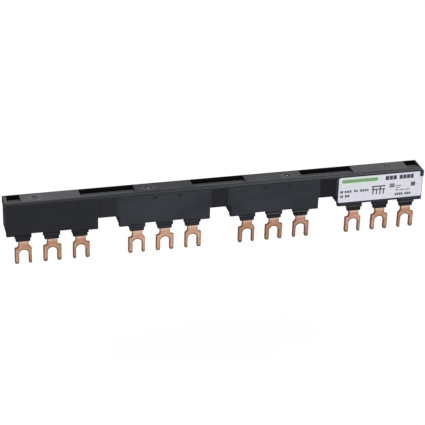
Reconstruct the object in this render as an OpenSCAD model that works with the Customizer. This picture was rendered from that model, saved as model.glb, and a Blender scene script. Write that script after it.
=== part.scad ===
// Comb busbar: three copper combs with four forked legs each, held in a
// two-part moulded insulating housing with a label on its right-hand plate.
// The origin is at the middle of the length and depth, at the fork tips.
// +X runs along the length, +Y to the back and +Z up. Sizes are in mm.

/* [Layout] */
// Distance between the centres of neighbouring fork groups
group_pitch = 54; // [53.8:0.05:54]
// Distance between neighbouring forks in a group
fork_pitch = 13.45; // [13.3:0.05:13.6]
// Half of the distance between the two end faces of the housing
end_x = 102.1; // [102.05:0.05:102.2]
// Half of the overall depth
back_y = 6.02; // [6:0.01:6.1]
// Height of the top lands above the fork tips
top_z = 30.8; // [30.8:0.05:31]

/* [Front cover] */
// Distance of the raised front plates in front of the middle plane
plate_y = 5.77; // [5.72:0.01:5.78]
// Distance of the recess floors in front of the middle plane
floor_y = 4.92; // [4.85:0.01:4.97]
// Half width of a raised plate at its upper part
plate_half = 22.3; // [22:0.1:22.4]
// Half width of a block below the narrow sections
block_half = 21.95; // [21.5:0.05:22]
// Height of the upper edge of the recesses between the plates
recess_top = 30.3; // [30:0.1:30.3]
// Radius of the rounded front edge of the rim
rim_r = 0.6; // [0.4:0.1:0.7]

/* [Housing] */
// Height of the underside of the narrow sections
narrow_z = 20.1; // [20.05:0.05:20.4]
// Height of the underside of the blocks
block_z = 15.85; // [15.8:0.05:16.1]
// Height of the underside of the feet
foot_z = 14.8; // [14.75:0.05:15.2]
// Height of the underside of the bosses
boss_z = 11.85; // [11.8:0.05:12.2]
// Half width of a top window
window_half = 13; // [12.5:0.1:13]
// Distance of the top windows to the right of the gaps' middles
window_x = 0.5; // [0:0.1:0.7]
// Height of the back end of the ramp in a window
ramp_z = 29.3; // [29.25:0.05:29.8]
// Height of the bottom of the slot behind a ramp
slot_z = 22; // [21.9:0.1:26]

/* [Copper combs] */
// Thickness of the copper
copper_t = 1.1; // [1:0.05:1.1]
// Half width of a fork's slot
slot_r = 2.25; // [2.2:0.005:2.4]
// Height of the centre of a fork's arch
arch_z = 4.91; // [4.8:0.01:5]
// Half width of a fork over its wide tines
tine_half = 4.28; // [4.1:0.01:4.3]
// Distance of a narrow tine's outer edge from the fork's axis
narrow_half = 3.72; // [3.6:0.01:3.75]
// Half width of the neck
neck_half = 2.5; // [2.4:0.05:2.5]
// Distance of the combs to the right of the housing's middle
comb_x = 0.25; // [0:0.05:0.3]

/* [Label] */
// Left edge of the label
label_x0 = 58.9; // [58.9:0.1:60]
// Right edge of the label
label_x1 = 101.9; // [101:0.05:101.95]
// Lower edge of the label
label_z0 = 16.9; // [16.5:0.1:18]
// Upper edge of the label
label_z1 = 30.2; // [29.5:0.1:30.2]
// Thickness of the label
label_t = 0.1; // [0.08:0.01:0.12]

/* [Hidden] */
$fn = 48;
e = 0.01;
groups = [for (i = [-1.5:1:1.5]) i * group_pitch];
fork_dx = [-fork_pitch, 0, fork_pitch];
gaps = [-group_pitch, 0, group_pitch];
// planes of the joint between the two mouldings
cover_back = -3.26;
housing_front = -3.22;
// fork plane
fork_front = -4.97;
fork_mid = fork_front + copper_t / 2;
// middle planes of the three bars, and the heights of their edges
bar_y = [-2.23, -0.38, 1.47];
bar_z0 = 21;
bar_z1 = 28.7;
bar_end = 99.6;
// heights of the two bends of every leg
bend_top = 20.4;
bend_bottom = 17;
// inside of the housing
hollow_z0 = 20.95;
hollow_z1 = 28.95;
hollow_x = 100.5;
hollow_y = 2.47;
cell_z = 16.8;
cell_y = 5;
cells = [[-19.7, -7.3], [-6.1, 6.1], [7.3, 19.7]];
slot_y0 = 3.57;
slot_y1 = 5.62;
window_y0 = -2.47;
end_windows = [[-100.6, -94.4], [95.4, 101.5]];
// bosses
boss_half_top = 3.95;
boss_half = 3.45;
boss_step = 13.8;
boss_rear = -3.9;
tongue_back = -2.3;
rear_half = 22;
pocket_half = 2.6;
// end lips and hooks
lip_x = 102.35;
lip_z = 27.2;
hook_x = 100.6;
hook_z = [27.6, 30.1];
// moulding gates on the lands and ejector marks on the middle plates
gate_x = [-87.5, -33.7, 34.6, 85.7];
gate_y = 1.1;
gate_r = 1.6;
ejector_dx = [-4.9, 7.1];
ejector_z = 28.9;

// a box between two corners
module box(a, b) {
  translate(a) cube([b[0] - a[0], b[1] - a[1], b[2] - a[2]]);
}

// a shape drawn in Y and Z, extruded from x0 to x1
module along_x(x0, x1) {
  translate([x0, 0, 0]) rotate([90, 0, 90])
    linear_extrude(height = x1 - x0) children();
}

// a shape drawn in X and Z, extruded from y0 back to y1
module along_y(y0, y1) {
  translate([0, y1, 0]) rotate([90, 0, 0])
    linear_extrude(height = y1 - y0) children();
}

// ---------------------------------------------------------------- cover

// the rim over the whole length, with its rounded front edge
module rim_profile() {
  difference() {
    polygon([[-floor_y, recess_top - 0.62], [cover_back, recess_top - 0.62],
             [cover_back, top_z - 0.5], [cover_back - 0.4, top_z - 0.1],
             [-plate_y, top_z - 0.1], [-plate_y, recess_top]]);
    difference() {
      translate([-plate_y - 1, top_z - 0.1 - rim_r])
        square([1 + rim_r, rim_r + 1]);
      translate([-plate_y + rim_r, top_z - 0.1 - rim_r]) circle(r = rim_r);
    }
  }
}

// wall of the cover in the narrow sections
module cover_web() {
  along_x(-end_x, end_x)
    polygon([[-floor_y, narrow_z + 0.15], [-floor_y + 0.15, narrow_z],
             [cover_back, narrow_z], [cover_back, recess_top - 0.3],
             [-floor_y, recess_top - 0.3]]);
}

// raised plate of one block; lo and hi are its side edges at the upper part,
// and ramp_lo and ramp_hi say how far the edges slope out to the floor
module plate(lo, hi, ramp_lo, ramp_hi, low_lo, low_hi) {
  // upper part, with sloping sides and a sloping lower end
  intersection() {
    translate([0, 0, narrow_z])
      linear_extrude(height = recess_top + 0.05 - narrow_z)
        polygon([[lo, -plate_y], [hi, -plate_y],
                 [hi + ramp_hi, -floor_y], [hi + ramp_hi, -floor_y + 0.3],
                 [lo - ramp_lo, -floor_y + 0.3], [lo - ramp_lo, -floor_y]]);
    along_x(lo - 2, hi + 2)
      polygon([[-plate_y - 1, narrow_z + 1.85], [-plate_y, narrow_z + 0.85],
               [-floor_y, narrow_z + 0.15], [-floor_y + 0.3, narrow_z + 0.15],
               [-floor_y + 0.3, recess_top + 1], [-plate_y - 1, recess_top + 1]]);
  }
  // lower part, over the whole depth of the cover
  along_x(low_lo, low_hi)
    polygon([[-plate_y, block_z + 0.1], [-plate_y + 0.2, block_z - 0.1],
             [cover_back, block_z - 0.1], [cover_back, narrow_z + 0.4],
             [-floor_y, narrow_z + 0.4], [-floor_y, narrow_z + 1.4],
             [-plate_y, narrow_z + 1.4]]);
}

// face of a boss's lower tier, with rounded lower corners
module boss_skirt() {
  r = 0.4;
  polygon([[-boss_half, boss_z + r], [boss_half, boss_z + r],
           [boss_half, boss_step - 0.35], [boss_half_top - 0.25, boss_step + 0.05],
           [-boss_half_top + 0.25, boss_step + 0.05],
           [-boss_half, boss_step - 0.35]]);
  translate([-boss_half + r, boss_z]) square([2 * (boss_half - r), r + 0.01]);
  for (x = [-boss_half + r, boss_half - r])
    translate([x, boss_z + r]) circle(r = r);
}

// boss for one leg, centred on x = 0
module boss_front() {
  difference() {
    union() {
      box([-boss_half_top, -plate_y, boss_step],
          [boss_half_top, cover_back, block_z + 0.5]);
      along_y(-plate_y + 0.3, boss_rear) boss_skirt();
      // raised bead
      box([-boss_half_top + 0.2, -plate_y - 0.18, boss_step + 0.25],
          [boss_half_top - 0.2, -plate_y + 0.1, boss_step + 0.6]);
    }
    // groove above the bead
    box([-boss_half_top - 1, -plate_y - 1, boss_step + 1.05],
        [boss_half_top + 1, -plate_y + 0.2, boss_step + 1.35]);
  }
}

module foot(lo, hi) {
  along_x(lo, hi)
    polygon([[-plate_y, foot_z + 0.2], [-plate_y + 0.2, foot_z],
             [cover_back, foot_z], [cover_back, block_z + 0.2],
             [-plate_y, block_z + 0.2]]);
}

module front_cover() color([0.16, 0.17, 0.19]) {
  difference() {
    union() {
      cover_web();
      along_x(-end_x, end_x) rim_profile();
      for (i = [0:3]) {
        c = groups[i];
        first = (i == 0);
        last = (i == 3);
        lo = first ? -end_x : c - plate_half + 0.45;
        hi = last ? end_x : c + plate_half;
        llo = first ? -end_x : c - block_half;
        lhi = last ? end_x : c + block_half;
        plate(lo, hi, first ? 0 : 1.25, last ? 0 : 0.8, llo, lhi);
        foot(llo, c - fork_pitch - boss_half_top + 0.3);
        foot(c + fork_pitch + boss_half_top - 0.3, lhi);
        for (dx = fork_dx) translate([c + dx, 0, 0]) boss_front();
      }
    }
    for (i = [0:3]) {
      c = groups[i];
      for (dx = fork_dx) {
        // pocket for the leg, open to the back and at the bottom
        box([c + dx + comb_x - pocket_half, fork_front - 0.05, boss_z - 1],
            [c + dx + comb_x + pocket_half, cover_back + 1, bend_top + 0.6]);
      }
      // weight-saving pockets in the back of the plate, between the legs
      for (p = [[-19.6, -17.2], [-9.8, -3.7], [3.7, 9.8], [17.2, 19.6]])
        box([c + p[0], -plate_y + 0.95, block_z + 0.8],
            [c + p[1], cover_back + 1, 28.4]);
      for (dx = fork_dx)
        box([c + dx - pocket_half, -plate_y + 0.95, bend_top + 1.4],
            [c + dx + pocket_half, cover_back + 1, 28.4]);
      // two round ejector marks on each of the two middle plates
      if (i == 1 || i == 2) for (dx = ejector_dx)
        translate([c + dx, -plate_y + 0.4, ejector_z]) rotate([90, 0, 0])
          cylinder(r = 0.75, h = 1);
    }
    // very shallow arc-bounded recess at the lower left corner of two plates
    for (i = [1, 2])
      translate([groups[i] - block_half - 0.6, -plate_y + 0.08, foot_z])
        rotate([90, 0, 0]) cylinder(r = 6.6, h = 1);
  }
}

// -------------------------------------------------------------- housing

// cross-section of the housing with the joint groove and a broken back edge
module housing_profile() {
  polygon([[housing_front, narrow_z], [back_y - 0.2, narrow_z],
           [back_y, narrow_z + 0.2], [back_y, top_z - 0.25],
           [back_y - 0.25, top_z], [housing_front + 0.4, top_z],
           [housing_front, top_z - 0.4]]);
}

// lower part of a block
module block_profile() {
  polygon([[housing_front, block_z], [back_y - 0.3, block_z],
           [back_y, block_z + 0.3], [back_y, narrow_z + 0.6],
           [housing_front, narrow_z + 0.6]]);
}

// opening in the top: ramp in front, slot behind it
module window_cut(x0, x1) {
  along_x(x0, x1)
    polygon([[window_y0, top_z], [slot_y0, ramp_z], [slot_y0, slot_z],
             [slot_y1, slot_z], [slot_y1, top_z + 1], [window_y0, top_z + 1]]);
}

// tongue that closes the leg pocket of a boss from behind
module leg_tongue() {
  box([-neck_half + 0.05, fork_front + copper_t + 0.06, boss_z + 0.15],
      [neck_half - 0.05, tongue_back, block_z + 0.3]);
}

// end lip with the hook that holds the cover, at the +X end
module lip_part(x0, y0, y1) {
  along_y(y0, y1)
    polygon([[x0, lip_z], [max(end_x, x0 + 0.02), lip_z],
             [lip_x, lip_z + 0.5], [lip_x, top_z - 0.3],
             [lip_x - 0.3, top_z], [x0, top_z]]);
}

module end_lip() {
  lip_part(end_x - 0.3, housing_front + 0.4, back_y);
  // strap past the cover's end, a little inside the lip's outline
  box([end_x + 0.02, -back_y, lip_z + 0.35],
      [lip_x - 0.02, housing_front + 0.9, top_z - 0.35]);
}

module hook() {
  along_y(-back_y, -plate_y - 0.02)
    polygon([[hook_x, hook_z[0]], [end_x + 0.1, hook_z[0]],
             [end_x + 0.1, hook_z[1]], [hook_x, hook_z[1]]]);
}

module rear_housing() color([0.15, 0.16, 0.18]) {
  difference() {
    union() {
      along_x(-end_x, end_x) housing_profile();
      for (i = [0:3]) {
        c = groups[i];
        llo = (i == 0) ? -end_x : c - rear_half;
        lhi = (i == 3) ? end_x : c + rear_half;
        along_x(llo, lhi) block_profile();
        for (dx = fork_dx) translate([c + dx + comb_x, 0, 0]) leg_tongue();
      }
    }
    // chamber for the bars, open to the front
    box([-hollow_x, housing_front - 1, hollow_z0],
        [hollow_x, hollow_y, hollow_z1]);
    for (c = groups) for (q = cells) {
      // cell for one leg below the bars
      box([c + q[0], housing_front - 1, cell_z],
          [c + q[1], cell_y, hollow_z0 + 1]);
      // hollow behind the bars under the land
      lo = max(q[0], -12.6);
      hi = min(q[1], 12.6);
      box([c + lo, housing_front - 1, cell_z],
          [c + hi, cell_y, hollow_z1]);
    }
    for (g = gaps)
      window_cut(g + window_x - window_half, g + window_x + window_half);
    for (w = end_windows) window_cut(w[0], w[1]);
    // gate marks on the lands: a shallow dish with the stub of the sprue in it
    for (x = gate_x) translate([x, gate_y, top_z]) difference() {
      translate([0, 0, -0.35]) cylinder(r = gate_r, h = 1);
      translate([0, 0, -0.6]) cylinder(r = 0.55, h = 0.5);
    }
  }
  end_lip();
  hook();
  mirror([1, 0, 0]) { end_lip(); hook(); }
}

// ---------------------------------------------------------------- combs

// unit vector from p to q
function dir(p, q) = (q - p) / norm(q - p);
// left normal of a direction
function left(d) = [-d[1], d[0]];
// points of a line of constant width w about the corner points in p
function mitre(n1, n2, w) = (n1 + n2) * w / (1 + n1 * n2);
function side(p, w) = [for (i = [0:len(p) - 1])
  let (a = left(dir(p[max(i - 1, 0)], p[max(i, 1)])),
       b = left(dir(p[min(i, len(p) - 2)], p[min(i + 1, len(p) - 1)])))
  p[i] + mitre(a, b, w)];
function strip(p, w) = concat(side(p, w / 2),
  [for (i = [len(p) - 1:-1:0]) side(p, -w / 2)[i]]);

// one tine from x = a to x = b with a rounded tip of corner radius r
module tine(a, b, r) {
  translate([a, r]) square([b - a, 6 - r]);
  translate([a + r, r]) circle(r = r);
  translate([b - r, r]) circle(r = r);
  if (b - a > 2 * r + 0.02) translate([a + r, 0]) square([b - a - 2 * r, r]);
}

// right-hand half of a fork with a wide tine
module wide_half() {
  tine(slot_r, tine_half, 0.8);
  difference() {
    translate([0, 4]) square([tine_half, 5.45]);
    translate([neck_half + 1.25, 9.45]) circle(r = 1.25);
    translate([neck_half + 1.25, 8.2]) square([3, 2]);
    translate([neck_half, 9.45]) square([3, 2]);
    difference() {
      translate([tine_half - 0.3, 7.9]) square([1, 1]);
      translate([tine_half - 0.3, 7.9]) circle(r = 0.3);
    }
  }
}

// right-hand half of a fork with a narrow tine and a sloping shoulder
module narrow_half_fork() {
  tine(slot_r, narrow_half, 0.6);
  polygon([[0, 4], [narrow_half, 4], [narrow_half, 7.9],
           [neck_half, 9.3], [0, 9.3]]);
}

// outline of a fork; l and r are true where that side's tine is wide
module fork_outline(l, r) {
  difference() {
    union() {
      if (r) wide_half(); else narrow_half_fork();
      mirror([1, 0]) if (l) wide_half(); else narrow_half_fork();
      translate([-neck_half, 7]) square([2 * neck_half, bend_bottom - 1.4 - 7]);
    }
    translate([0, arch_z]) circle(r = slot_r);
    translate([-slot_r, -1]) square([2 * slot_r, arch_z + 1]);
  }
}

// one comb: k is 0 for the left forks, 1 for the middle and 2 for the right
module comb(k) color([0.80, 0.55, 0.45]) translate([comb_x, 0, 0]) {
  y = bar_y[k];
  box([-bar_end, y - copper_t / 2, bar_z0],
      [bar_end, y + copper_t / 2, bar_z1]);
  for (c = groups) translate([c + fork_dx[k], 0, 0]) {
    along_x(-neck_half, neck_half)
      polygon(strip([[y, bar_z0 + 0.5], [y, bend_top],
                     [fork_mid, bend_bottom], [fork_mid, bend_bottom - 1.5]],
                    copper_t));
    along_y(fork_front, fork_front + copper_t)
      fork_outline(k < 2, k > 0);
  }
}

module comb_left() comb(0);
module comb_middle() comb(1);
module comb_right() comb(2);

// ------------------------------------------------------------ insulation

module insulating_sheet(y) color([0.75, 0.73, 0.66])
  box([-hollow_x + 0.1, y - 0.2, hollow_z0 + 0.02],
      [hollow_x - 0.1, y + 0.2, hollow_z1 - 0.05]);

module insulating_strip_front() insulating_sheet((bar_y[0] + bar_y[1]) / 2);
module insulating_strip_rear() insulating_sheet((bar_y[1] + bar_y[2]) / 2);

// ----------------------------------------------------------------- label

module label() color([0.86, 0.86, 0.90])
  along_y(-plate_y - label_t, -plate_y) difference() {
    union() {
      translate([label_x0 + 1, label_z0])
        square([label_x1 - label_x0 - 2, label_z1 - label_z0]);
      translate([label_x0, label_z0 + 1])
        square([label_x1 - label_x0, label_z1 - label_z0 - 2]);
      for (x = [label_x0 + 1, label_x1 - 1]) for (z = [label_z0 + 1, label_z1 - 1])
        translate([x, z]) circle(r = 1);
    }
    // notch round the hook
    translate([hook_x - 0.1, hook_z[0] - 0.1]) square([3, 4]);
  }

front_cover();
rear_housing();
comb_left();
comb_middle();
comb_right();
insulating_strip_front();
insulating_strip_rear();
label();
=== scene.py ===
import math

import bmesh
import bpy
from mathutils import Matrix, Vector


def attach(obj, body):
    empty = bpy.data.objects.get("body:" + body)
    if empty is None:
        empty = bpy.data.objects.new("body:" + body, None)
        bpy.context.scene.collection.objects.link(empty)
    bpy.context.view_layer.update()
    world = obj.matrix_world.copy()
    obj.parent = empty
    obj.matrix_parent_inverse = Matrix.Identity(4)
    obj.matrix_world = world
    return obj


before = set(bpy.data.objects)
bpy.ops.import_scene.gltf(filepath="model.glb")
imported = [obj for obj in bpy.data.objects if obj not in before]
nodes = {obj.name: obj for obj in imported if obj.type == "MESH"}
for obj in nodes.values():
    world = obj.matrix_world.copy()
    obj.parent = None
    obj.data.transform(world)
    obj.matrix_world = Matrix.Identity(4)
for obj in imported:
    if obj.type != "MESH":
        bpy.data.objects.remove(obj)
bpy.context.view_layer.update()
scene = bpy.context.scene
MM = 0.001


# ---------------------------------------------------------------- node helpers
class Tree:
    """A small helper that builds a material's node tree."""

    def __init__(self, name):
        self.mat = bpy.data.materials.new(name)
        self.mat.use_nodes = True
        self.nt = self.mat.node_tree
        self.nt.nodes.clear()
        self.out = self.nt.nodes.new("ShaderNodeOutputMaterial")
        self.bsdf = self.nt.nodes.new("ShaderNodeBsdfPrincipled")
        self.nt.links.new(self.bsdf.outputs[0], self.out.inputs[0])
        self.coord = self.nt.nodes.new("ShaderNodeTexCoord").outputs["Object"]
        sep = self.nt.nodes.new("ShaderNodeSeparateXYZ")
        self.link(self.coord, sep.inputs[0])
        self.x, self.y, self.z = sep.outputs
        self._n = None

    def link(self, a, b):
        self.nt.links.new(a, b)

    def put(self, socket, value):
        if isinstance(value, bpy.types.NodeSocket):
            self.link(value, socket)
        elif isinstance(value, (tuple, list)) and len(value) == 3 and socket.type == "RGBA":
            socket.default_value = (*value, 1.0)
        else:
            socket.default_value = value

    def math(self, op, a, b=None, c=None, clamp=False):
        n = self.nt.nodes.new("ShaderNodeMath")
        n.operation = op
        n.use_clamp = clamp
        for s, v in zip(n.inputs, (a, b, c)):
            if v is not None:
                self.put(s, v)
        return n.outputs[0]

    def mul(self, a, b):
        return self.math("MULTIPLY", a, b)

    def add(self, a, b):
        return self.math("ADD", a, b)

    def sub(self, a, b):
        return self.math("SUBTRACT", a, b)

    def ramp(self, v, lo, hi, a=0.0, b=1.0, smooth=True):
        """v from lo to hi becomes a to b, held outside."""
        n = self.nt.nodes.new("ShaderNodeMapRange")
        n.interpolation_type = "SMOOTHSTEP" if smooth else "LINEAR"
        n.clamp = True
        for i, val in enumerate((v, lo, hi, a, b)):
            self.put(n.inputs[i], val)
        return n.outputs[0]

    def band(self, v, lo, hi, soft):
        """1 where v is between lo and hi, with soft edges."""
        return self.mul(
            self.ramp(v, lo - soft, lo + soft), self.ramp(v, hi - soft, hi + soft, 1.0, 0.0)
        )

    def noise(self, scale, detail=3.0, rough=0.5, stretch=None, dist=0.0, seed=0.0):
        n = self.nt.nodes.new("ShaderNodeTexNoise")
        vec = self.coord
        if stretch or seed:
            m = self.nt.nodes.new("ShaderNodeMapping")
            m.inputs["Scale"].default_value = stretch or (1, 1, 1)
            m.inputs["Location"].default_value = (seed, seed * 0.7, -seed * 0.4)
            self.link(self.coord, m.inputs["Vector"])
            vec = m.outputs[0]
        self.link(vec, n.inputs["Vector"])
        n.inputs["Scale"].default_value = scale
        n.inputs["Detail"].default_value = detail
        n.inputs["Roughness"].default_value = rough
        n.inputs["Distortion"].default_value = dist
        return n.outputs["Fac"]

    def voronoi(self, scale, feature="F1"):
        n = self.nt.nodes.new("ShaderNodeTexVoronoi")
        n.feature = feature
        self.link(self.coord, n.inputs["Vector"])
        n.inputs["Scale"].default_value = scale
        return n.outputs["Distance"]

    def mix(self, fac, a, b):
        n = self.nt.nodes.new("ShaderNodeMix")
        n.data_type = "RGBA"
        n.clamp_factor = True
        self.put(n.inputs["Factor"], fac)
        self.put(n.inputs[6], a)
        self.put(n.inputs[7], b)
        return n.outputs[2]

    def normal(self):
        """x, y and z of the true surface normal, in the row frame."""
        if self._n is None:
            g = self.nt.nodes.new("ShaderNodeNewGeometry")
            s = self.nt.nodes.new("ShaderNodeSeparateXYZ")
            self.link(g.outputs["True Normal"], s.inputs[0])
            self._n = s.outputs
        return self._n

    def edge(self, radius, lo=0.02, hi=0.35):
        """1 at the object's edges, 0 on its flats."""
        b = self.nt.nodes.new("ShaderNodeBevel")
        b.samples = 6
        b.inputs["Radius"].default_value = radius
        g = self.nt.nodes.new("ShaderNodeNewGeometry")
        d = self.nt.nodes.new("ShaderNodeVectorMath")
        d.operation = "DOT_PRODUCT"
        self.link(b.outputs[0], d.inputs[0])
        self.link(g.outputs["True Normal"], d.inputs[1])
        return self.ramp(self.sub(1.0, d.outputs["Value"]), lo, hi)

    def lean(self, radius, lo=0.06, hi=0.40):
        """How far the rounded-over normal leans off the true one: left, right, down and
        up, each 0 on a flat and growing to 1 at an edge of that side."""
        b = self.nt.nodes.new("ShaderNodeBevel")
        b.samples = 8
        b.inputs["Radius"].default_value = radius
        s = self.nt.nodes.new("ShaderNodeSeparateXYZ")
        self.link(b.outputs[0], s.inputs[0])
        nx, ny, nz = self.normal()
        dx = self.sub(s.outputs[0], nx)
        dz = self.sub(s.outputs[2], nz)
        return (
            self.ramp(dx, -lo, -hi),
            self.ramp(dx, lo, hi),
            self.ramp(dz, -lo, -hi),
            self.ramp(dz, lo, hi),
        )

    def bump(self, height, strength, distance, bevel=0.0):
        n = self.nt.nodes.new("ShaderNodeBump")
        n.inputs["Strength"].default_value = strength
        n.inputs["Distance"].default_value = distance
        self.link(height, n.inputs["Height"])
        if bevel:
            b = self.nt.nodes.new("ShaderNodeBevel")
            b.samples = 6
            b.inputs["Radius"].default_value = bevel
            self.link(b.outputs[0], n.inputs["Normal"])
        self.link(n.outputs[0], self.bsdf.inputs["Normal"])


def dress(obj, mat):
    obj.data.materials.clear()
    obj.data.materials.append(mat)


GROUPS = [-81.0, -27.0, 27.0, 81.0]


# ---------------------------------------------------------------- materials
def plastic(name, cover):
    """Moulded black thermoplastic: fine spark-eroded grain on the raised plates and
    lands, smoother and darker recess floors, slight flow marks, painted shade on the
    lower and left-hand edges and painted highlights on a few upper ones."""
    t = Tree(name)
    nx, ny, nz = t.normal()
    cloud = t.noise(45, 3, 0.55, stretch=(0.7, 1, 1.3))
    flow = t.noise(120, 2, 0.5, stretch=(0.35, 1, 1.6), seed=3.1)
    grain = t.noise(5200, 2, 0.6)
    pit = t.voronoi(3400)
    tone = t.add(t.mul(cloud, 0.7), t.mul(flow, 0.3))
    col = t.mix(t.ramp(tone, 0.35, 0.65), (0.0195, 0.0228, 0.0300), (0.0295, 0.0332, 0.0410))
    # painted shade: all but the back faces are painted darker towards the left-hand end, standing in for uneven light
    left_end_painted_shade = t.ramp(t.x, -62 * MM, -54 * MM, 0.0, 1.0)
    fore = t.ramp(ny, 0.7, 0.3)
    col = t.mix(t.mul(t.mul(t.sub(1.0, left_end_painted_shade), 0.85), fore), col, (0.0098, 0.0108, 0.0150))
    facing_up = t.ramp(nz, 0.55, 0.90)
    facing_left = t.ramp(nx, -0.55, -0.90)
    if cover:
        # smooth darker floors of the narrow sections, with painted shade making them darker still towards the right
        floor = t.mul(t.band(t.y, -4.96 * MM, -4.88 * MM, 0.01 * MM), t.ramp(ny, -0.9, -0.99))
        deep = t.mix(t.ramp(t.x, -60 * MM, 60 * MM), (0.0150, 0.0160, 0.0200), (0.0048, 0.0054, 0.0090))
        col = t.mix(floor, col, deep)
        # painted shade: the lower tier of each boss, set back under the upper tier, is painted darker, more so towards
        # the right
        low = t.mul(t.ramp(t.z, 13.95 * MM, 13.80 * MM), t.ramp(ny, -0.5, -0.9))
        col = t.mix(t.mul(low, t.ramp(t.x, -20 * MM, 50 * MM, 0.05, 0.80)), col, (0.0055, 0.0058, 0.0078))
        # painted highlight along the top of the rim, paler towards the right, with painted shade on its rounded front
        rim = t.mul(t.ramp(nz, 0.35, 0.80), t.ramp(t.z, 29.9 * MM, 30.3 * MM))
        rim_painted_light = t.mix(t.ramp(t.x, -95 * MM, 90 * MM, smooth=False), (0.0060, 0.0066, 0.0092), (0.053, 0.056, 0.062))
        rim_painted_light = t.mix(t.ramp(nz, 0.98, 0.90), rim_painted_light, (0.0100, 0.0108, 0.0140))
        col = t.mix(rim, col, rim_painted_light)
    else:
        floor = t.mul(t.ramp(t.z, 30.5 * MM, 30.2 * MM), t.ramp(nz, 0.9, 0.97))
        # painted top light: the lands are painted paler than the other faces, and the ramps of the windows paler still
        land = t.mix(t.ramp(tone, 0.35, 0.65), (0.029, 0.031, 0.035), (0.047, 0.049, 0.055))
        # painted highlight: lands paler at the left-hand end and towards the right
        bright = t.add(t.ramp(t.x, -56 * MM, -62 * MM), t.ramp(t.x, 10 * MM, 90 * MM, smooth=False))
        land = t.mix(t.mul(bright, 0.75), land, (0.082, 0.084, 0.090))
        # painted shade: lands darker between x -50 and 0 mm
        dim = t.band(t.x, -50 * MM, 0.0, 6 * MM)
        land = t.mix(t.mul(dim, 0.5), land, (0.016, 0.017, 0.020))
        col = t.mix(facing_up, col, land)
        # painted reflection: the backward-sloping ramps of the windows are painted paler, as if catching light from
        # behind
        ramp = t.mul(t.band(nz, 0.90, 0.99, 0.004), t.band(t.y, -2.7 * MM, 3.7 * MM, 0.05 * MM))
        col = t.mix(ramp, col, (0.046, 0.049, 0.054))
        # lands are paler round their gates
        for gx, gy, ring, spot in ((-87.5, 1.1, 0.48, 0.1), (-33.7, 1.1, 0.28, 0.9), (34.6, 1.1, 0.25, 0.9), (85.7, 1.1, 0.22, 0.6)):
            rx = t.mul(t.sub(t.x, gx * MM), 0.75)
            ry = t.sub(t.y, gy * MM)
            away = t.math("SQRT", t.add(t.mul(rx, rx), t.mul(ry, ry)))
            halo = t.mul(t.ramp(away, 3.4 * MM, 1.6 * MM), t.ramp(t.noise(500, 3, 0.6, seed=gx * 0.1), 0.36, 0.60, 0.25, 1.0))
            col = t.mix(t.mul(t.mul(halo, facing_up), ring), col, (0.165, 0.168, 0.178))
            stub = t.mul(t.ramp(away, 0.60 * MM, 0.45 * MM), facing_up)
            col = t.mix(t.mul(stub, spot), col, (0.26, 0.265, 0.275))
        # painted shade: the inner walls of the slots are painted dark, where shade falls deep inside; the outer back
        # and end faces are not
        slot = t.mul(t.band(t.y, 3.66 * MM, 5.90 * MM, 0.06 * MM), t.band(t.z, 21.9 * MM, 30.6 * MM, 0.15 * MM))
        slot = t.mul(slot, t.ramp(t.math("ABSOLUTE", t.x), 101.95 * MM, 101.80 * MM))
        col = t.mix(t.mul(slot, t.ramp(nz, 0.5, 0.2)), col, (0.006, 0.0062, 0.0075))
    # painted shade: left-facing end and side faces are painted darker, as if in shadow
    col = t.mix(t.mul(facing_left, 0.95), col, (0.0040, 0.0043, 0.0055))
    # painted shade on the lower and left-hand edges of the front faces, less on the right-hand ones; painted highlight
    # on upper edges
    # painted highlight: a pale line along the top of each boss's bead, where its top face catches the light
    if cover:
        bead = t.mul(t.band(t.z, 14.28 * MM, 14.48 * MM, 0.05 * MM), t.ramp(t.noise(140, 2, 0.5, seed=4.4), 0.42, 0.60))
        col = t.mix(t.mul(bead, t.ramp(t.x, -10 * MM, 20 * MM, 0.35, 0.75)), col, (0.17, 0.175, 0.185))
    left, right, down, up = t.lean(1.05 * MM, 0.04, 0.26)
    front = t.ramp(ny, -0.6, -0.9)
    uneven = t.ramp(t.noise(700, 3, 0.6, seed=1.7), 0.30, 0.66, 0.70, 1.0)
    dark_edge = t.math("MAXIMUM", down, t.math("MAXIMUM", t.mul(left, 0.85), t.mul(right, 0.60)))
    below = t.ramp(t.z, 20.9 * MM, 20.4 * MM)
    col = t.mix(t.mul(t.mul(dark_edge, uneven), t.mul(front, below)), col, (0.0015, 0.0016, 0.0022))
    # painted highlight: upward-leaning edges of upward faces are painted pale, unevenly
    upper_edge_painted_highlight = t.mul(t.mul(up, facing_up), t.ramp(t.noise(900, 3, 0.6, seed=2.7), 0.35, 0.70, 0.1, 0.8))
    col = t.mix(t.mul(upper_edge_painted_highlight, 0.25), col, (0.085, 0.087, 0.092))
    # a little pale dust in specks
    speck = t.ramp(t.noise(2600, 4, 0.7, seed=7.7), 0.70, 0.78)
    col = t.mix(t.mul(speck, 0.08), col, (0.20, 0.20, 0.20))
    t.put(t.bsdf.inputs["Base Color"], col)
    rough = t.add(t.mul(t.noise(300, 3, 0.6, seed=5.5), 0.16), 0.42)
    rough = t.add(rough, t.mul(floor, -0.08))
    rough = t.add(rough, t.mul(grain, 0.06))
    ends = t.ramp(t.math("ABSOLUTE", nx), 0.55, 0.90)
    rough = t.math("MAXIMUM", rough, t.mul(ends, 0.97))
    t.put(t.bsdf.inputs["Roughness"], rough)
    t.bsdf.inputs["IOR"].default_value = 1.5
    t.bsdf.inputs["Specular IOR Level"].default_value = 0.15
    height = t.add(t.mul(grain, 0.6), t.mul(pit, 0.5))
    height = t.add(t.mul(height, t.sub(1.0, t.mul(floor, 0.8))), t.mul(flow, 0.8))
    t.bump(height, 0.35, 0.02 * MM, bevel=0.15 * MM)
    return t.mat


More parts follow.
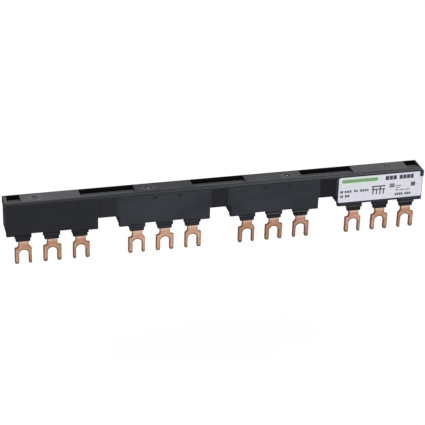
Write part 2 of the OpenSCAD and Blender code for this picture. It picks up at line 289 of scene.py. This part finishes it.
def copper(name):
    """Bare stamped copper: pinkish and tan mottled rolled faces with fine rolling lines,
    brown cut edges and edge lines as painted shade, dull dark tips, a redder patch over each arch
    and a paler band of painted highlight where the leg leaves its boss."""
    t = Tree(name)
    nx, ny, nz = t.normal()
    face = t.ramp(t.math("ABSOLUTE", ny), 0.45, 0.75)
    cloud = t.noise(420, 4, 0.6)
    hue = t.noise(260, 3, 0.55, seed=6.4)
    wide = t.noise(17, 2, 0.5, seed=9.2)
    fine = t.noise(2600, 3, 0.6, stretch=(1.0, 1, 0.16), seed=2.2)
    pink = t.mix(t.ramp(cloud, 0.35, 0.68), (0.50, 0.255, 0.190), (0.66, 0.38, 0.30))
    tan = t.mix(t.ramp(cloud, 0.35, 0.68), (0.42, 0.225, 0.125), (0.58, 0.34, 0.215))
    col = t.mix(t.ramp(hue, 0.38, 0.62), pink, tan)
    col = t.mix(t.mul(t.ramp(wide, 0.42, 0.62), 0.30), col, (0.36, 0.20, 0.125))
    col = t.mix(t.ramp(fine, 0.60, 0.80), col, (0.44, 0.20, 0.12))
    # redder patch over the arch; painted highlight as a paler band under the boss
    red = t.mul(t.band(t.z, 8.3 * MM, 10.0 * MM, 0.5 * MM), t.ramp(t.noise(600, 3, 0.6, seed=8.8), 0.38, 0.60))
    col = t.mix(t.mul(red, 0.55), col, (0.46, 0.175, 0.120))
    pale = t.mul(t.band(t.z, 10.5 * MM, 11.5 * MM, 0.3 * MM), t.ramp(t.noise(500, 3, 0.6, seed=5.1), 0.30, 0.60, 0.35, 1.0))
    col = t.mix(t.mul(pale, 0.7), col, (0.78, 0.56, 0.47))
    # tines browner than the necks, the third group darker and browner than the rest and the second paler
    low = t.ramp(t.z, 9.2 * MM, 6.5 * MM)
    third = t.band(t.x, 6 * MM, 46 * MM, 5 * MM)
    second = t.band(t.x, -46 * MM, -8 * MM, 5 * MM)
    col = t.mix(t.mul(low, t.add(0.03, t.mul(third, 0.37))), col, (0.24, 0.135, 0.085))
    col = t.mix(t.mul(t.sub(1.0, low), t.mul(third, 0.16)), col, (0.24, 0.135, 0.085))
    col = t.mix(t.mul(second, 0.30), col, (0.78, 0.50, 0.37))
    # painted shade: a brown line round every edge, heaviest on the left and lower edges, and brown cut edges
    left, right, down, up = t.lean(1.15 * MM, 0.03, 0.22)
    rim = t.math("MAXIMUM", t.mul(left, 0.95), t.mul(down, 0.90))
    rim = t.math("MAXIMUM", rim, t.mul(right, 0.45))
    rim = t.math("MAXIMUM", rim, t.mul(up, 0.30))
    rim = t.mul(rim, t.mul(face, t.ramp(t.noise(650, 3, 0.6, seed=3.7), 0.34, 0.60, 0.62, 1.0)))
    rim = t.mul(rim, t.ramp(t.z, 11.4 * MM, 10.6 * MM, 0.45, 1.0))
    col = t.mix(t.mul(rim, 0.88), col, (0.100, 0.048, 0.024))
    # painted shade: a browner line along the slot and the outer edges, heavier on edges of faces turned to the left:
    # place across one fork, in mm
    gx = t.add(t.mul(t.x, 1.0 / MM), 108.0 - 0.25)
    gx = t.sub(t.math("MODULO", gx, 54.0), 27.0)
    k = t.math("ROUND", t.mul(gx, 1.0 / 13.45))
    fx = t.sub(gx, t.mul(k, 13.45))
    fz = t.mul(t.z, 1.0 / MM)
    high = t.math("MAXIMUM", t.sub(fz, 4.91), 0.0)
    slot = t.sub(t.math("SQRT", t.add(t.mul(fx, fx), t.mul(high, high))), 2.25)
    inner = t.mul(t.ramp(slot, 0.62, 0.22), t.ramp(fx, -1.6, 0.4, 0.50, 1.0))
    wide_l = t.sub(4.28, t.mul(t.math("MAXIMUM", k, 0.0), 0.56))
    wide_r = t.sub(4.28, t.mul(t.math("MAXIMUM", t.mul(k, -1.0), 0.0), 0.56))
    outer = t.math(
        "MAXIMUM",
        t.ramp(t.add(fx, wide_l), 0.62, 0.25),
        t.mul(t.ramp(t.sub(wide_r, fx), 0.50, 0.15), 0.40),
    )
    outer = t.mul(outer, t.ramp(fz, 8.6, 7.8))
    waist = t.mul(t.ramp(t.add(fx, 2.5), 0.50, 0.15), t.ramp(fz, 8.6, 9.4))
    line = t.math("MAXIMUM", t.mul(inner, 0.85), t.math("MAXIMUM", t.mul(outer, 0.85), t.mul(waist, 0.45)))
    line = t.mul(t.mul(line, face), t.ramp(t.noise(480, 3, 0.6, seed=12.7), 0.34, 0.58, 0.55, 1.0))
    col = t.mix(line, col, (0.135, 0.062, 0.026))
    # painted shade: the cut faces are painted dark brown, as if in shadow
    col = t.mix(t.mul(t.sub(1.0, face), 0.85), col, (0.15, 0.072, 0.038))
    # dull dark tips
    tip = t.mul(
        t.ramp(t.z, 2.0 * MM, 0.3 * MM), t.ramp(t.noise(1100, 3, 0.6, seed=4.2), 0.32, 0.58, 0.25, 1.0)
    )
    col = t.mix(t.mul(tip, 0.85), col, (0.105, 0.078, 0.062))
    # shade inside the boss
    col = t.mix(t.ramp(t.z, 11.5 * MM, 12.0 * MM), col, (0.20, 0.08, 0.05))
    t.put(t.bsdf.inputs["Base Color"], col)
    t.bsdf.inputs["Metallic"].default_value = 0.85
    rough = t.add(t.mul(cloud, 0.20), 0.34)
    rough = t.math("MAXIMUM", rough, t.mul(t.sub(1.0, face), 0.92))
    t.put(t.bsdf.inputs["Roughness"], rough)
    height = t.add(t.mul(fine, 0.7), t.mul(t.noise(6000, 2, 0.6, seed=1.1), 0.4))
    t.bump(height, 0.35, 0.015 * MM, bevel=0.14 * MM)
    return t.mat


def film(name):
    """Silver-white polyester label: satin, very slightly mottled, greyer at its edge."""
    t = Tree(name)
    mott = t.noise(700, 4, 0.65)
    fibre = t.noise(3000, 2, 0.6, seed=2.0)
    col = t.mix(t.ramp(mott, 0.35, 0.68), (0.655, 0.655, 0.745), (0.725, 0.725, 0.80))
    col = t.mix(t.ramp(fibre, 0.62, 0.78), col, (0.58, 0.58, 0.66))
    x0, x1, z0, z1 = 58.9 * MM, 101.9 * MM, 16.9 * MM, 30.2 * MM
    inside = t.mul(
        t.mul(t.ramp(t.x, x0, x0 + 0.35 * MM), t.ramp(t.x, x1 - 0.35 * MM, x1, 1.0, 0.0)),
        t.mul(t.ramp(t.z, z0, z0 + 0.35 * MM), t.ramp(t.z, z1 - 0.35 * MM, z1, 1.0, 0.0)),
    )
    col = t.mix(t.mul(t.sub(1.0, inside), 0.5), col, (0.42, 0.42, 0.47))
    t.put(t.bsdf.inputs["Base Color"], col)
    t.put(t.bsdf.inputs["Roughness"], t.add(t.mul(mott, 0.15), 0.38))
    t.bsdf.inputs["Metallic"].default_value = 0.0
    t.bump(t.add(mott, t.mul(fibre, 0.4)), 0.12, 0.01 * MM)
    return t.mat


def ink(name, a, b, rough=0.45):
    """Printed ink with slightly uneven cover."""
    t = Tree(name)
    n = t.noise(2200, 4, 0.7, seed=3.3)
    col = t.mix(t.ramp(n, 0.30, 0.72), a, b)
    t.put(t.bsdf.inputs["Base Color"], col)
    t.put(t.bsdf.inputs["Roughness"], t.add(t.mul(n, 0.12), rough))
    t.bump(n, 0.10, 0.005 * MM)
    return t.mat


def strip_film(name):
    t = Tree(name)
    n = t.noise(400, 3, 0.6)
    col = t.mix(n, (0.52, 0.50, 0.42), (0.62, 0.60, 0.52))
    t.put(t.bsdf.inputs["Base Color"], col)
    t.put(t.bsdf.inputs["Roughness"], t.add(t.mul(n, 0.2), 0.4))
    t.bump(n, 0.1, 0.01 * MM)
    return t.mat


dress(nodes["front_cover"], plastic("cover_plastic", True))
dress(nodes["rear_housing"], plastic("housing_plastic", False))
bare = copper("bare_copper")
for k in ("comb_left", "comb_middle", "comb_right"):
    dress(nodes[k], bare)
sheet_mat = strip_film("insulation_film")
for k in ("insulating_strip_front", "insulating_strip_rear"):
    dress(nodes[k], sheet_mat)
dress(nodes["label"], film("label_film"))


# ---------------------------------------------------------------- label print
def bars(name, rects, mat, y_front, y_back, r_max=0.12):
    """Thin closed plates with rounded corners, one per (x0, x1, z0, z1) in mm."""
    bm = bmesh.new()
    for x0, x1, z0, z1 in rects:
        r = min(r_max, (x1 - x0) * 0.45, (z1 - z0) * 0.45)
        pts = []
        for cx, cz, a0 in (
            (x1 - r, z1 - r, 0.0),
            (x0 + r, z1 - r, 0.5),
            (x0 + r, z0 + r, 1.0),
            (x1 - r, z0 + r, 1.5),
        ):
            for k in range(5):
                a = math.pi * (a0 + k / 8.0)
                pts.append((cx + r * math.cos(a), cz + r * math.sin(a)))
        front = [bm.verts.new((x * MM, y_front * MM, z * MM)) for x, z in pts]
        back = [bm.verts.new((x * MM, y_back * MM, z * MM)) for x, z in pts]
        n = len(pts)
        bm.faces.new(front)
        bm.faces.new(list(reversed(back)))
        for i in range(n):
            j = (i + 1) % n
            bm.faces.new((front[j], front[i], back[i], back[j]))
    bmesh.ops.recalc_face_normals(bm, faces=bm.faces)
    me = bpy.data.meshes.new(name)
    bm.to_mesh(me)
    bm.free()
    ob = bpy.data.objects.new(name, me)
    scene.collection.objects.link(ob)
    me.materials.append(mat)
    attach(ob, "root")
    return ob


FACE = -5.87
FRONT, BACK = FACE - 0.012, FACE + 0.004
dark_ink = ink("ink_slate", (0.022, 0.023, 0.034), (0.050, 0.052, 0.068))
soft_ink = ink("ink_soft", (0.060, 0.060, 0.078), (0.110, 0.110, 0.135))
grey_ink = ink("ink_grey", (0.15, 0.15, 0.18), (0.23, 0.23, 0.27))
green_ink = ink("ink_green", (0.150, 0.290, 0.150), (0.215, 0.370, 0.205))
pale_ink = ink("ink_pale_green", (0.60, 0.76, 0.60), (0.66, 0.80, 0.66))


def words(x0, z, h, widths, gap):
    """A line of plain blocks, one per width, standing for print."""
    out, x = [], x0
    for w in widths:
        out.append((x, x + w, z, z + h))
        x += w + gap
    return out


# plain pale field with one green bar on it, top left
bars("label_print_field", [(60.0, 79.2, 26.2, 29.7)], pale_ink, FACE - 0.006, BACK, 0.5)
bars("label_print_green", [(60.5, 78.7, 27.2, 29.0)], green_ink, FRONT - 0.004, BACK, 0.3)

dark = []
# heading, top right: two groups of plain blocks
dark += words(82.7, 27.0, 2.2, [1.8, 1.7, 1.7], 0.28)
dark += words(89.9, 27.0, 2.2, [1.7, 1.6, 1.6, 1.6], 0.26)
# plain comb diagram in the middle: two bars and four prongs
dark += [(75.9, 82.9, 23.75, 24.4), (75.9, 82.9, 22.2, 22.75)]
for k, x in enumerate((76.7, 78.5, 80.3, 82.1)):
    dark.append((x - 0.29, x + 0.29, 19.7, 23.8 if k % 2 == 0 else 22.25))
bars("label_print_dark", dark, dark_ink, FRONT, BACK)

soft = []
# two lines, lower left
soft += words(59.8, 21.95, 1.25, [1.5], 0.0) + words(62.1, 21.95, 1.25, [1.0, 1.0, 1.0], 0.25)
soft += words(66.9, 21.95, 1.25, [0.85, 0.8], 0.22) + words(69.9, 21.95, 1.25, [1.0, 0.95, 0.9, 0.8], 0.25)
soft += words(59.8, 19.5, 1.35, [0.6, 0.85], 0.2) + words(62.3, 19.5, 1.35, [1.05, 1.05], 0.25)
# short line, lower right
soft += words(88.1, 18.25, 1.35, [0.9, 0.85, 0.85, 0.8], 0.22)
soft += words(93.2, 18.25, 1.35, [0.9, 0.85, 0.85], 0.22)
# small block, upper right
soft += [(96.1, 98.3, 22.7, 24.9)]
bars("label_print_soft", soft, soft_ink, FRONT, BACK)

grey = []
# small block and short thin lines beside it
grey += [(85.1, 87.7, 22.7, 24.9)]
grey += words(88.3, 23.1, 0.6, [0.9, 1.4], 0.3) + words(88.6, 22.1, 0.55, [1.6], 0.3)
grey += words(88.1, 20.85, 0.6, [1.7, 2.0, 2.2], 0.75)
bars("label_print_grey", grey, grey_ink, FRONT, BACK)

# ---------------------------------------------------------------- floor
fm = Tree("floor_pale")
fn = fm.noise(3.0, 2, 0.5)
fm.put(fm.bsdf.inputs["Base Color"], fm.mix(fn, (0.93, 0.93, 0.93), (0.96, 0.96, 0.96)))
fm.bsdf.inputs["Roughness"].default_value = 0.9
bm = bmesh.new()
S = 6.0
vs = [bm.verts.new(p) for p in ((-S, -S, -0.09), (S, -S, -0.09), (S, S, -0.09), (-S, S, -0.09))]
bm.faces.new(vs)
fme = bpy.data.meshes.new("floor")
bm.to_mesh(fme)
bm.free()
floor = bpy.data.objects.new("floor", fme)
scene.collection.objects.link(floor)
fme.materials.append(fm.mat)


# ---------------------------------------------------------------- light
def area(name, loc, target, sx, sy, power, color=(1, 1, 1)):
    li = bpy.data.lights.new(name, "AREA")
    li.shape = "RECTANGLE"
    li.size, li.size_y = sx, sy
    li.energy = power
    li.color = color
    ob = bpy.data.objects.new(name, li)
    scene.collection.objects.link(ob)
    ob.location = loc
    d = Vector(target) - Vector(loc)
    ob.rotation_mode = "QUATERNION"
    ob.rotation_quaternion = d.to_track_quat("-Z", "Y")
    return ob


area("overhead", (0.0, 0.1, 1.3), (0, 0, 0), 2.0, 2.0, 8.0)
area("key", (-0.5, -0.6, 0.8), (0, 0, 0.02), 0.6, 0.6, 1.2)
world = bpy.data.worlds.new("studio")
scene.world = world
world.use_nodes = True
bg = world.node_tree.nodes["Background"]
bg.inputs[0].default_value = (1, 1, 1, 1)
bg.inputs[1].default_value = 0.82
scene.view_settings.view_transform = "Standard"
scene.view_settings.look = "None"
scene.view_settings.exposure = 0.0
scene.view_settings.gamma = 1.0

# ---------------------------------------------------------------- camera
cam_data = bpy.data.cameras.new("camera")
cam = bpy.data.objects.new("camera", cam_data)
scene.collection.objects.link(cam)
scene.camera = cam
cam_data.sensor_width = 36.0
cam_data.lens = 134.5
cam_data.clip_start, cam_data.clip_end = 0.05, 50.0
cam_data.shift_y = 0.95 / 425.0
right = Vector((0.968827, -0.246388, 0.025834))
up = Vector((0.089763, 0.446314, 0.890363))
fwd = Vector((0.230905, 0.860289, -0.454518))
rot = Matrix((right, up, -fwd)).transposed()
cam.matrix_world = Matrix.Translation(Vector((-0.17848, -0.65644, 0.36129))) @ rot.to_4x4()

# ---------------------------------------------------------------- end
bpy.context.view_layer.update()
